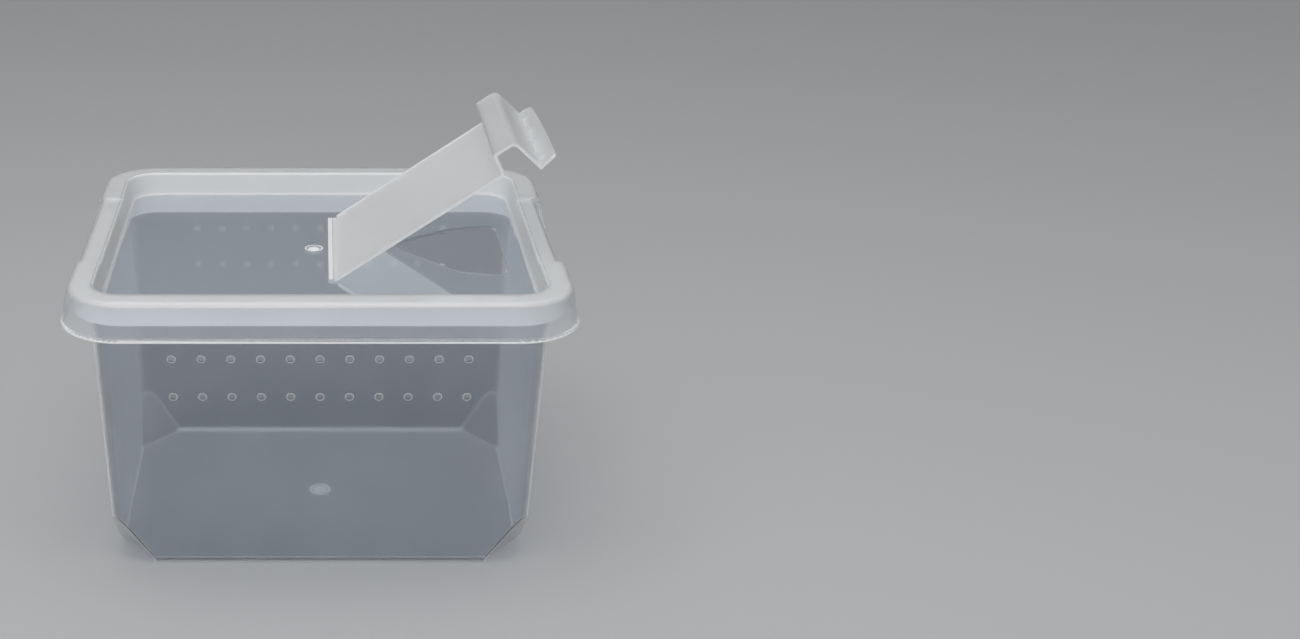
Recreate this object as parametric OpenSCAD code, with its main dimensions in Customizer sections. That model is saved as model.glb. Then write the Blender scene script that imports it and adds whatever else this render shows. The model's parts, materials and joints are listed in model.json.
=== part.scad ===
/* [Lid] */
// Width of the lid's rim, left to right, at its top edge
lid_w = 195.2; // [170:0.2:220]
// Depth of the lid's rim, front to back, at its top edge
lid_d = 168; // [146:1:190]
// Outer radius of the rim's corners
corner_r = 22; // [20:0.5:30]
// Distance from the rim's outer edge in to the foot of the recess wall
rim_w = 11.3; // [10.5:0.1:13]
// Depth of the clear panel below the rim's top
recess_h = 9.7; // [6:0.1:11]
// Lean of the recess wall, foot to top
recess_lean = 1.3; // [0.6:0.1:1.8]
// Height of the skirt, from the rim's top to its lower edge
skirt_h = 15.2; // [13:0.2:18]
// How far the skirt flares out over its height
skirt_flare = 3; // [1.5:0.1:3.2]
// Thickness of the lid's sheet
lid_t = 1.3; // [1:0.05:1.5]
// How far the bead on the skirt's lower edge stands out
bead_out = 0.4; // [0.2:0.1:1]
// Height of that bead
bead_h = 1.8; // [1.2:0.1:3]

/* [Seats in the rim] */
// Length of the lowered stretch in the middle of each side
seat_w = 79.6; // [77:0.2:96]
// Drop of the right-hand seat, which takes the closed flap
seat_drop = 1.2; // [0.8:0.1:1.8]
// How far in the skirt is set behind the closed flap's lip
seat_inset = 2.4; // [1.6:0.1:2.8]
// Drop of the shallower left-hand seat
left_drop = 0.9; // [0.3:0.1:1.2]
// Set-in of the skirt at the left-hand seat
left_inset = 0.8; // [0.3:0.1:2]

/* [Flap] */
// Width of the flap, front to back
flap_w = 75; // [70:0.5:76]
// Thickness of the flap's sheet
flap_t = 1.2; // [0.9:0.05:1.5]
// Angle at which the flap stands open
open_angle = 34.2; // [10:0.2:80]
// Distance of the hinge line to the right of the lid's centre
hinge_x = 7; // [5:0.2:12]
// Height of the lip that hangs outside the skirt
lip_h = 14.4; // [9:0.2:15]
// How far the lip flares out over its height
lip_flare = 3.3; // [3:0.1:5]
// Length of the pull tab
tab_l = 8; // [6:0.2:14]
// Upward tilt of the pull tab
tab_tilt = 10; // [0:1:20]
// Bulge of the tab's outer edge
tab_bow = 0.6; // [0.2:0.1:2]
// How much shorter the tab is at its back end
tab_skew = 1.2; // [0:0.1:2]
// Corner radius of the tab at the front
tab_r_front = 2; // [1:0.5:4]
// Corner radius of the tab at the back
tab_r_back = 6.5; // [2:0.5:7]
// Number of gussets between lip and tab
gusset_n = 4; // [2:1:8]
// Leg of a gusset
gusset_leg = 3.6; // [2:0.2:6]
// Thickness of a gusset
gusset_t = 1; // [0.6:0.1:1.6]

/* [Film hinge] */
// Thickness of the film
film_t = 0.4; // [0.3:0.05:0.6]
// Distance from the hinge line back to the fixed strip
film_back = 1.5; // [1.5:0.1:2.2]
// Distance from the hinge line to the flap's plate
film_front = 1; // [1:0.1:1.6]
// Height of the film's underside above the closed flap's underside
film_rise = 0.1; // [0:0.05:0.3]
// Width of the fixed strip
strip_w = 2.2; // [2:0.2:5]
// Height of the fixed strip above the panel
strip_h = 0.8; // [0.8:0.1:1.6]

/* [Hatch] */
// Distance of the hatch's round tip from the hinge line
hatch_start = 21; // [18:0.5:28]
// How far the tip lies behind the lid's middle line
hatch_skew = 6; // [0:0.5:8]
// Distance from the hatch's straight end to the recess wall
hatch_margin = 9.3; // [6:0.1:14]
// Width that the flap laps over the panel beside the hatch
hatch_lap = 6.2; // [2:0.1:8]
// Narrowing of the hatch at its shoulders, each side
hatch_taper = 5.2; // [2:0.2:9]
// Length of the hatch's nearly parallel part
hatch_flank = 20; // [14:0.5:26]
// Radius of the hatch's tip
hatch_tip_r = 8; // [4:0.5:10]
// Radius of the hatch's shoulders
hatch_shoulder_r = 14; // [6:0.5:16]
// Radius of the hatch's corners
hatch_corner_r = 5; // [2:0.5:6]

/* [Tub] */
// Height of the closed keeper, from the foot to the rim's top
keeper_h = 127; // [100:1:160]
// Width of the flat foot
foot_w = 172; // [154:0.2:172]
// Depth of the flat foot
foot_d = 121.8; // [112:0.2:138]
// Width of the shelf where the walls meet the mouth
shelf_w = 1.2; // [0.8:0.1:2]
// Corner radius of the tub at the foot
foot_r = 8; // [6:0.5:12]
// Thickness of the tub's walls
wall_t = 1.3; // [1:0.05:1.6]
// Thickness of the floor
floor_t = 1.5; // [1.2:0.1:2.5]
// Fillet between the foot and the walls
foot_fillet = 2; // [1:0.1:3]
// Width that the flat facet cuts off each foot corner
facet_w = 18.6; // [12:0.2:22]
// Depth that the facet cuts off
facet_d = 22.4; // [12:0.2:26]
// Height at which the facet's plane would meet the corner's edge
facet_h = 24; // [20:1:50]
// Height of the gap between the tub's lip and the skirt's lower edge
lip_gap = 4.8; // [3.2:0.2:6]

/* [Vent holes] */
// Diameter of a vent hole
vent_d = 3.2; // [2:0.1:5]
// Distance between holes in a row
vent_pitch = 11.5; // [8:0.1:12.4]
// Number of holes in a row
vent_cols = 11; // [3:2:11]
// Number of rows
vent_rows = 2; // [1:1:3]
// Distance between rows
vent_row_pitch = 17.2; // [8:0.1:20]
// Depth of the upper row below the rim's top
vent_drop = 27.6; // [22:0.1:32]

/* [Gate marks] */
// Outer diameter of the floor's gate mark
floor_gate_d = 9.6; // [6:0.1:14]
// Outer diameter of the panel's gate mark
lid_gate_d = 8.2; // [6:0.1:9]
// Distance of the panel's gate mark to the left of the lid's centre
lid_gate_x = 2.6; // [2:0.1:10]
// Height of a gate mark's ring
gate_h = 0.4; // [0.2:0.1:0.8]
// Width of a gate mark's ring
gate_ring_w = 1.2; // [0.6:0.1:1.6]
// Diameter of the sprue stub in a gate mark
gate_stub_d = 2; // [1:0.1:2.5]

/* [Rounding] */
// Fillet between the clear panel and the recess wall
recess_r = 1.3; // [0.8:0.1:1.6]
// Fillet between the recess wall and the rim's top
rim_r_in = 1.2; // [0.8:0.1:1.4]
// Fillet between the rim's top and the skirt
rim_r_out = 2.2; // [1.6:0.1:2.6]
// Fillet along the tub's flange and under its shelf
soft_r = 1; // [0.6:0.1:1.2]
// Fillet along small edges
edge_r = 0.4; // [0.2:0.05:0.4]

/* [Fits] */
// Clearance between the lid and the tub
lid_gap = 0.3; // [0.2:0.05:0.4]
// Clearance between the closed flap and the lid
flap_gap = 0.25; // [0.15:0.05:0.4]

/* [Hidden] */
$fn = 96;
// One small overlap, so that joined shapes share volume
bite = 0.05;
// Plates that a hull is drawn between
plate_t = 0.01;
// Gap that keeps the film's end off the flap's plate
seam = 0.02;
// Segments in a profile's fillet
fillet_steps = 4;
// Segments in the round corners that a hull joins
hull_fn = 32;
// Levels in the fillet round the foot
foot_levels = 3;
// Side of the block that cuts a facet
facet_cut = 3 * facet_h;

// The rim, the seat, the mouth and the flange all turn round the same four corner centres
corner_x = lid_w / 2 - corner_r;
corner_y = lid_d / 2 - corner_r;
rim_z = keeper_h;
panel_z = rim_z - recess_h;
skirt_z = rim_z - skirt_h;

// Radii about a corner centre, from the recess wall out to the skirt
foot_wall_r = corner_r - rim_w;
top_wall_r = foot_wall_r + recess_lean;
skirt_slope = skirt_flare / skirt_h;
skirt_t = lid_t * sqrt(1 + skirt_slope * skirt_slope);

// The tub's mouth follows the lid's underside
mouth_r = top_wall_r + lid_t + lid_gap;
flange_top_z = rim_z - seat_drop - lid_t - lid_gap;
flange_r = corner_r - seat_inset - skirt_t - lid_gap;
lip_z = skirt_z + lip_gap;
shelf_z = panel_z - lid_t - 2 * lid_gap;
body_r = mouth_r + wall_t - shelf_w;

// The hinge line lies above the panel, in the middle of the film
hinge_z = panel_z + flap_gap + film_rise + film_t / 2;
plate_z = panel_z + flap_gap - hinge_z;

// The closed flap, measured from the hinge line
wall_foot_x = corner_x + foot_wall_r - flap_gap - hinge_x;
wall_top_x = corner_x + top_wall_r - flap_gap - hinge_x;
bridge_z = rim_z - seat_drop + flap_gap - hinge_z;
lip_top_x = corner_x + corner_r - seat_inset + flap_gap - hinge_x;
lip_foot_x = lip_top_x + lip_flare;
lip_foot_z = bridge_z - lip_h;

function unit(v) = v / norm(v);

// Points on the arc of radius r that rounds corner b between a and c
function fillet(a, b, c, r) =
    let (
        u = unit(a - b),
        v = unit(c - b),
        half = acos(u * v) / 2,
        o = b + unit(u + v) * r / sin(half),
        p = b + u * r / tan(half) - o,
        q = b + v * r / tan(half) - o,
        start = atan2(p[1], p[0]),
        turn = atan2(p[0] * q[1] - p[1] * q[0], p * q)
    )
    [for (i = [0:fillet_steps])
        o + r * [cos(start + turn * i / fillet_steps), sin(start + turn * i / fillet_steps)]];

// A closed outline whose corners [x, y, radius] are rounded
function rounded(corners) =
    let (n = len(corners), xy = [for (c = corners) [c[0], c[1]]])
    [for (i = [0:n - 1])
        each corners[i][2] == 0
            ? [xy[i]]
            : fillet(xy[(i + n - 1) % n], xy[i], xy[(i + 1) % n], corners[i][2])];

// Section of the rim between a top skin, lowered and set in, and an underside that may lie deeper
function rim_band(drop, inset, under_drop, under_inset) =
    let (
        top = rim_z - drop,
        out = corner_r - inset,
        foot = corner_r - inset + skirt_flare,
        under = rim_z - under_drop - lid_t,
        under_out = corner_r - under_inset - skirt_t,
        under_foot = under_out + skirt_flare
    )
    rounded([
        [foot_wall_r - recess_r, panel_z - lid_t, 0],
        [foot_wall_r - recess_r, panel_z, 0],
        [foot_wall_r, panel_z, recess_r],
        [top_wall_r, top, rim_r_in],
        [out, top, rim_r_out],
        [foot - skirt_slope * bead_h, skirt_z + bead_h, edge_r],
        [foot - skirt_slope * bead_h + bead_out, skirt_z + bead_h - bead_out, edge_r],
        [foot + bead_out, skirt_z, edge_r],
        [under_foot, skirt_z, edge_r],
        [under_out + skirt_slope * lid_t, under, max(edge_r, rim_r_out - lid_t)],
        [top_wall_r + lid_t, under, edge_r],
        [foot_wall_r + lid_t, panel_z - lid_t, rim_r_in]
    ]);

// Section of the tub's rim: shelf, mouth wall, flange and down-turned lip
function mouth_band() =
    let (
        lip_out = flange_r + skirt_slope * (flange_top_z - lip_z),
        lip_in = flange_r - skirt_t
    )
    rounded([
        [body_r - wall_t - bite, shelf_z - wall_t, 0],
        [body_r - wall_t - bite, shelf_z, 0],
        [mouth_r, shelf_z, edge_r],
        [mouth_r, flange_top_z, edge_r],
        [flange_r, flange_top_z, soft_r],
        [lip_out, lip_z, edge_r],
        [lip_out - skirt_t, lip_z, edge_r],
        [lip_in + skirt_slope * wall_t, flange_top_z - wall_t, edge_r],
        [mouth_r + wall_t, flange_top_z - wall_t, edge_r],
        [mouth_r + wall_t, shelf_z - wall_t, soft_r]
    ]);

// A rectangle with round corners, centred on the origin
module round_rect(w, d, r) {
    square([w - 2 * r, d], center = true);
    square([w, d - 2 * r], center = true);
    for (sx = [-1, 1])
        for (sy = [-1, 1])
            translate([sx * (w / 2 - r), sy * (d / 2 - r)])
                circle(r);
}

// Turns a section through the four corners of the rim
module round_corners(section) {
    for (quarter = [0:3]) {
        sx = (quarter == 0 || quarter == 3) ? 1 : -1;
        sy = quarter < 2 ? 1 : -1;
        translate([sx * corner_x, sy * corner_y, 0])
            rotate([0, 0, 90 * quarter])
                rotate_extrude(angle = 90)
                    polygon(section);
    }
}

// Runs a section along the right side of the rim, from y0 to y1
module along_side(section, y0, y1) {
    translate([corner_x, y1, 0])
        rotate([90, 0, 0])
            linear_extrude(y1 - y0)
                polygon(section);
}

// Runs a section along the front and the back of the rim
module along_front_and_back(section) {
    for (turn = [-90, 90])
        rotate([0, 0, turn])
            translate([corner_y, corner_x, 0])
                rotate([90, 0, 0])
                    linear_extrude(2 * corner_x)
                        polygon(section);
}

// One side of the rim: two raised ends, the lowered seat and the step walls between them
module seat_side(drop, inset) {
    high = rim_band(0, 0, 0, 0);
    low = rim_band(drop, inset, drop, inset);
    step = rim_band(0, 0, drop, inset);
    along_side(high, -corner_y, -seat_w / 2);
    along_side(high, seat_w / 2, corner_y);
    along_side(low, -seat_w / 2, seat_w / 2);
    along_side(step, -seat_w / 2 - lid_t, -seat_w / 2);
    along_side(step, seat_w / 2, seat_w / 2 + lid_t);
}

// Ring and sprue stub where the plastic entered the mould
module gate_mark(d) {
    translate([0, 0, -bite])
        difference() {
            cylinder(d = d, h = gate_h + bite);
            cylinder(d = d - 2 * gate_ring_w, h = 2 * gate_h + bite);
        }
    translate([0, 0, -bite])
        cylinder(d = gate_stub_d, h = gate_h + bite);
}

// Outline of the hatch: a tip towards the hinge, two shoulders and a straight end
module hatch_outline() {
    start = hinge_x + hatch_start;
    end = corner_x + foot_wall_r - hatch_margin;
    half = flap_w / 2 - hatch_lap;
    shoulder = half - hatch_taper;
    polygon(rounded([
        [start, hatch_skew, hatch_tip_r],
        [end - hatch_flank, -shoulder, hatch_shoulder_r],
        [end, -half, hatch_corner_r],
        [end, half, hatch_corner_r],
        [end - hatch_flank, shoulder, hatch_shoulder_r]
    ]));
}

module panel() {
    edge = foot_wall_r - recess_r / 2;
    difference() {
        translate([0, 0, panel_z - lid_t])
            linear_extrude(lid_t)
                round_rect(2 * (corner_x + edge), 2 * (corner_y + edge), edge);
        translate([0, 0, panel_z - 2 * lid_t])
            linear_extrude(3 * lid_t)
                hatch_outline();
    }
}

// The fixed side of the hinge, a low strip across the panel
module hinge_strip() {
    translate([hinge_x - film_back - strip_w, -flap_w / 2, panel_z - bite])
        cube([strip_w, flap_w, strip_h + bite]);
}

module lid() {
    high = rim_band(0, 0, 0, 0);
    color([0.86, 0.88, 0.9, 0.75]) {
        panel();
        round_corners(high);
        along_front_and_back(high);
        seat_side(seat_drop, seat_inset);
        mirror([1, 0, 0])
            seat_side(left_drop, left_inset);
        hinge_strip();
        translate([-lid_gate_x, 0, panel_z])
            gate_mark(lid_gate_d);
    }
}

// Section of the flap: plate, end wall, bridge over the rim and lip
function flap_band() =
    let (slope = lip_flare / lip_h, thick = flap_t * sqrt(1 + slope * slope))
    rounded([
        [film_front, plate_z, 0],
        [wall_foot_x, plate_z, recess_r],
        [wall_top_x, bridge_z, edge_r],
        [lip_top_x, bridge_z, rim_r_out],
        [lip_foot_x, lip_foot_z, 0],
        [lip_foot_x + thick, lip_foot_z, 0],
        [lip_top_x + thick - slope * flap_t, bridge_z + flap_t, rim_r_out + flap_t],
        [wall_top_x - flap_t, bridge_z + flap_t, rim_r_in],
        [wall_foot_x - flap_t, plate_z + flap_t, edge_r],
        [film_front, plate_z + flap_t, 0]
    ]);

// Outline of the pull tab, with a bowed outer edge and one corner rounder than the other
module tab_outline() {
    half = flap_w / 2;
    sides = 6;
    bow = [for (i = [1:sides - 1])
        let (t = -1 + 2 * i / sides)
        [tab_l - tab_skew * (1 + t) / 2 + tab_bow * (1 - t * t), t * half, 0]];
    polygon(rounded(concat(
        [[0, -half, 0], [tab_l, -half, tab_r_front]],
        bow,
        [[tab_l - tab_skew, half, tab_r_back], [0, half, 0]]
    )));
}

module pull_tab() {
    translate([lip_foot_x, 0, lip_foot_z])
        rotate([0, -tab_tilt, 0])
            linear_extrude(flap_t)
                tab_outline();
}

// Small webs in the corner between the lip and the tab
module gussets() {
    slope = lip_flare / lip_h;
    pitch = flap_w / gusset_n;
    for (i = [0:gusset_n - 1])
        translate([lip_foot_x, -flap_w / 2 + pitch * (i + 0.5) + gusset_t / 2, lip_foot_z])
            rotate([90, 0, 0])
                linear_extrude(gusset_t)
                    polygon([
                        [flap_t / 2, flap_t / 2],
                        [flap_t + gusset_leg, flap_t / 2 + (flap_t + gusset_leg) * tan(tab_tilt)],
                        [flap_t / 2 - slope * gusset_leg, flap_t + gusset_leg]
                    ]);
}

module flap() {
    color([0.92, 0.93, 0.94, 0.85])
        translate([hinge_x, 0, hinge_z])
            rotate([0, -open_angle, 0]) {
                rotate([90, 0, 0])
                    linear_extrude(flap_w, center = true)
                        polygon(flap_band());
                pull_tab();
                gussets();
            }
}

// The thin web that bends, drawn as it lies with the flap open
module film_hinge() {
    color([0.92, 0.93, 0.94, 0.85])
        translate([hinge_x, 0, hinge_z])
            rotate([90, 0, 0])
                linear_extrude(flap_w, center = true) {
                    translate([-film_back, -film_t / 2])
                        square([film_back, film_t]);
                    circle(d = film_t);
                    rotate(open_angle)
                        translate([0, -film_t / 2])
                            square([film_front - seam, film_t]);
                }
}

// The tub's outer or inner form below the mouth; inside says how far in from the outer one
module body_form(inside, z0, z1) {
    top_w = 2 * (corner_x + body_r - inside);
    top_d = 2 * (corner_y + body_r - inside);
    difference() {
        hull() {
            for (level = [0:foot_levels]) {
                angle = 90 * level / foot_levels;
                in = inside + foot_fillet * (1 - sin(angle));
                translate([0, 0, z0 + foot_fillet * (1 - cos(angle))])
                    linear_extrude(plate_t)
                        round_rect(foot_w - 2 * in, foot_d - 2 * in, foot_r - in, $fn = hull_fn);
            }
            translate([0, 0, z1 - plate_t])
                linear_extrude(plate_t)
                    round_rect(top_w, top_d, body_r - inside, $fn = hull_fn);
        }
        for (mx = [0, 1])
            for (my = [0, 1])
                mirror([mx, 0, 0])
                    mirror([0, my, 0])
                        foot_facet(inside);
    }
}

// Everything outside the plane that cuts one corner of the foot
module foot_facet(inside) {
    turn = atan(facet_w / facet_d);
    lean = atan(1 / (facet_h * norm([1 / facet_w, 1 / facet_d])));
    translate([foot_w / 2 - facet_w / 2, foot_d / 2 - facet_d / 2, 0])
        rotate([0, 0, turn])
            rotate([0, lean, 0])
                translate([-inside, -facet_cut / 2, -facet_cut / 2])
                    cube(facet_cut);
}

// Vent holes drilled through the front and the back wall together
module vent_holes() {
    for (row = [0:vent_rows - 1])
        for (col = [0:vent_cols - 1])
            translate([(col - (vent_cols - 1) / 2) * vent_pitch, 0,
                       rim_z - vent_drop - row * vent_row_pitch])
                rotate([90, 0, 0])
                    cylinder(d = vent_d, h = lid_d, center = true);
}

module tub() {
    band = mouth_band();
    color([0.82, 0.85, 0.88, 0.6])
        difference() {
            union() {
                body_form(0, 0, shelf_z);
                round_corners(band);
                along_front_and_back(band);
                along_side(band, -corner_y, corner_y);
                mirror([1, 0, 0])
                    along_side(band, -corner_y, corner_y);
            }
            difference() {
                body_form(wall_t, floor_t, shelf_z + bite);
                translate([0, 0, floor_t])
                    gate_mark(floor_gate_d);
            }
            vent_holes();
        }
}

tub();
lid();
film_hinge();
flap();
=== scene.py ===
"""Plastic pet keeper: moulded finishes, film hinge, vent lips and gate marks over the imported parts."""

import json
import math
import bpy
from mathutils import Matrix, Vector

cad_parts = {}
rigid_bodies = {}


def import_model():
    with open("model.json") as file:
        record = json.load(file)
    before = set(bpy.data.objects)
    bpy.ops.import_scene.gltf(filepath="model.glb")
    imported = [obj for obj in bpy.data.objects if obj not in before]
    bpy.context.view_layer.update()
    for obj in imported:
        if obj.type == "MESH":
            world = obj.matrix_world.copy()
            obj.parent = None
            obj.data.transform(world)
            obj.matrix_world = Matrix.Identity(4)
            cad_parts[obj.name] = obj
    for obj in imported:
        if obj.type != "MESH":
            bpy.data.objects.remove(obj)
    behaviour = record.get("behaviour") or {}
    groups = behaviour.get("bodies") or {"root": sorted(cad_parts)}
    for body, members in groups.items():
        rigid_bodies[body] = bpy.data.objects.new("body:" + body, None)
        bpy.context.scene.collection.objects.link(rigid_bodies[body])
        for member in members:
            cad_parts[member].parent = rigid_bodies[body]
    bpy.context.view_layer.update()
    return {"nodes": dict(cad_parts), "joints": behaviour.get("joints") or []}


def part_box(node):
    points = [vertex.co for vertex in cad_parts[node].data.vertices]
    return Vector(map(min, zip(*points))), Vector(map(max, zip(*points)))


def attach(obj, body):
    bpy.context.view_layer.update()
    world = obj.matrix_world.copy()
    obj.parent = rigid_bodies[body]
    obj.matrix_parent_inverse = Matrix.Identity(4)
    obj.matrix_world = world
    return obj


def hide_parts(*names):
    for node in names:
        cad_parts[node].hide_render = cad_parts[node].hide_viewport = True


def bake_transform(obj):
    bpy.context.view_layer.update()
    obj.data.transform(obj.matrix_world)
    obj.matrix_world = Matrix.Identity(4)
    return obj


bl_info = {
    "name": "Plastic pet keeper",
    "version": (1, 1, 0),
    "blender": (4, 5, 0),
    "location": "3D View > Sidebar > Keeper",
    "description": "Dresses a vented plastic pet keeper with a hinged flap and sets it in a plain studio",
    "category": "Object",
}

from typing import NamedTuple

import bmesh
import bpy
from mathutils import Matrix, Vector
from mathutils.bvhtree import BVHTree

MM = 0.001

SMOOTH_BELOW = math.radians(28)  # flatter edges of the mouldings are shaded smooth
SQUARE_EDGE = math.radians(50)  # sharper edges of the panel and the flap are rounded
FLAT_ANGLE = math.radians(0.2)  # neighbouring faces that differ by less are joined
MERGE_DISTANCE = 0.002 * MM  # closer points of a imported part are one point
HAIR = 0.03 * MM  # tolerance round a surface when a face's place is compared with it

# Parts of a face's unit normal along one axis, which tell how the face is turned.
FLOOR_LEVEL = 0.98  # the tub's flat floor stands upright by more
RIM_LEVEL = 0.95  # so does the rim's top
SIDEWAYS = 0.8  # end walls and the flap's side edges point sideways by more
FACET_DOWN = -0.25  # the outer faces of the facets point below this
UNDER_DOWN = -0.1  # undersides at the recess point below this
TAB_END_LEVEL = 0.3  # the tab's end faces have less across the tab

NOISE_SPAN = (0.3, 0.7)  # the noise values that matter, of 0 to 1
CLOUD_SCALE = 38.0
SCRATCH_SCALE = 42.0
SCRATCH_WIDTH = 0.006
SCRATCH_TURN = 0.6
SCRATCH_AXIS = (0.35, 0.5, 0.79)
SCRATCH_STRETCH = (1.0, 14.0, 14.0)
SCRATCH_PATCH_SCALE = 26.0
SCRATCH_PATCH_SPAN = (0.52, 0.68)
GRAZE_SPAN = (0.6, 0.9)  # turns of view over which the painted sheen grows from none to full

HORIZON_BAND = (0.45, 0.85)  # between these heights of a view direction the surround brightens
FLOOR_HALF_WIDTH = 12.0
FLOOR_ROUGHNESS = 0.6
SENSOR_WIDTH = 36.0  # of the camera, in millimetres
LAMP_AIM = (0.0, 0.0, 0.08)
LAMPS = (  # name, place, size, and the power's name in StudioSetup
    ("Key", (-0.1, -0.25, 1.1), (0.9, 0.7), "key_power"),
    ("Front", (-0.35, -1.45, 0.66), (0.9, 0.5), "front_power"),
    ("Left fill", (-1.15, -0.6, 0.62), (1.3, 1.1), "fill_power"),
    ("Right fill", (1.15, -0.35, 0.6), (1.3, 1.1), "fill_power"),
)


def empty_the_scene():
    """Takes away the objects that Blender starts with."""
    for found in list(bpy.data.objects):
        bpy.data.objects.remove(found)


empty_the_scene()
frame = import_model()
TUB_LOW, TUB_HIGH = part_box("tub")
LID_LOW, LID_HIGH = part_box("lid")
FLAP_LOW, FLAP_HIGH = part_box("flap")
FILM_LOW, FILM_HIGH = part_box("film_hinge")
HINGE = next(joint for joint in frame["joints"] if joint["name"] == "flap_hinge")
HINGE_LINE = Vector(HINGE["pos_m"])
OPEN_ANGLE = -math.radians(HINGE["range_deg"][0])


class KeeperShape(bpy.types.PropertyGroup):
    """Sizes that the finishes and the small pieces follow."""

    recess_depth: bpy.props.FloatProperty(
        name="Recess depth", description="Depth of the clear panel below the rim's top",
        default=9.7 * MM, unit="LENGTH")
    rim_width: bpy.props.FloatProperty(
        name="Rim width", description="From the skirt's lower edge in to the clear panel",
        default=15.6 * MM, unit="LENGTH")
    corner_radius: bpy.props.FloatProperty(
        name="Corner radius", description="Radius of the lid's corners at the skirt's lower edge",
        default=22.9 * MM, unit="LENGTH")
    bead_height: bpy.props.FloatProperty(
        name="Bead height", description="Height of the bright line along the skirt's lower edge",
        default=0.9 * MM, unit="LENGTH")
    sheet: bpy.props.FloatProperty(
        name="Sheet thickness", description="Thickness of the lid's and the tub's sheet",
        default=1.3 * MM, unit="LENGTH")
    film_thickness: bpy.props.FloatProperty(
        name="Film thickness", description="Thickness of the hinge's web",
        default=0.4 * MM, unit="LENGTH")
    facet_height: bpy.props.FloatProperty(
        name="Facet height", description="Height that the foot's corner facets stay below",
        default=26.0 * MM, unit="LENGTH")
    edge_radius: bpy.props.FloatProperty(
        name="Edge radius", description="Rounding of the edges at the foot and inside on the floor",
        default=0.5 * MM, unit="LENGTH")
    flap_edge_radius: bpy.props.FloatProperty(
        name="Flap edge radius", description="Rounding of the flap's and the strip's edges",
        default=0.22 * MM, unit="LENGTH")
    lip_distance: bpy.props.FloatProperty(
        name="Lip distance", description="From the hinge to the wall that rises over the rim",
        default=78.2 * MM, unit="LENGTH")
    tab_tilt: bpy.props.FloatProperty(
        name="Tab tilt", description="Tilt of the pull tab against the flap's plate",
        default=math.radians(10), unit="ROTATION")


class KeeperVents(bpy.types.PropertyGroup):
    """Layout of the air vents and their moulded lips."""

    columns: bpy.props.IntProperty(name="Columns", description="Vents in a row", default=11)
    rows: bpy.props.IntProperty(name="Rows", description="Rows of vents in a wall", default=2)
    pitch: bpy.props.FloatProperty(
        name="Pitch", description="Distance between vents in a row", default=11.5 * MM, unit="LENGTH")
    row_pitch: bpy.props.FloatProperty(
        name="Row pitch", description="Height between the rows", default=17.2 * MM, unit="LENGTH")
    drop: bpy.props.FloatProperty(
        name="Drop", description="Depth of the upper row below the rim's top",
        default=27.6 * MM, unit="LENGTH")
    diameter: bpy.props.FloatProperty(
        name="Diameter", description="Diameter of a vent", default=3.2 * MM, unit="LENGTH")
    lip_width: bpy.props.FloatProperty(
        name="Lip width", description="Width of the lip round a vent", default=0.32 * MM, unit="LENGTH")
    lip_rise: bpy.props.FloatProperty(
        name="Lip rise", description="How far a lip stands off the wall", default=0.12 * MM, unit="LENGTH")


class KeeperGates(bpy.types.PropertyGroup):
    """The two places where the plastic entered the moulds."""

    lid_place: bpy.props.FloatProperty(
        name="Lid gate", description="Distance of the panel's gate mark to the left of the centre",
        default=2.6 * MM, unit="LENGTH")
    lid_diameter: bpy.props.FloatProperty(
        name="Lid gate diameter", description="Outer diameter of the panel's gate mark",
        default=8.2 * MM, unit="LENGTH")
    floor_diameter: bpy.props.FloatProperty(
        name="Floor gate diameter", description="Outer diameter of the floor's gate mark",
        default=9.6 * MM, unit="LENGTH")
    floor_thickness: bpy.props.FloatProperty(
        name="Floor thickness", description="Thickness of the tub's floor", default=1.5 * MM, unit="LENGTH")
    ring_width: bpy.props.FloatProperty(
        name="Ring width", description="Width of a gate mark's ring", default=1.2 * MM, unit="LENGTH")
    ring_height: bpy.props.FloatProperty(
        name="Ring height", description="Height of a gate mark's ring", default=0.4 * MM, unit="LENGTH")


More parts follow.
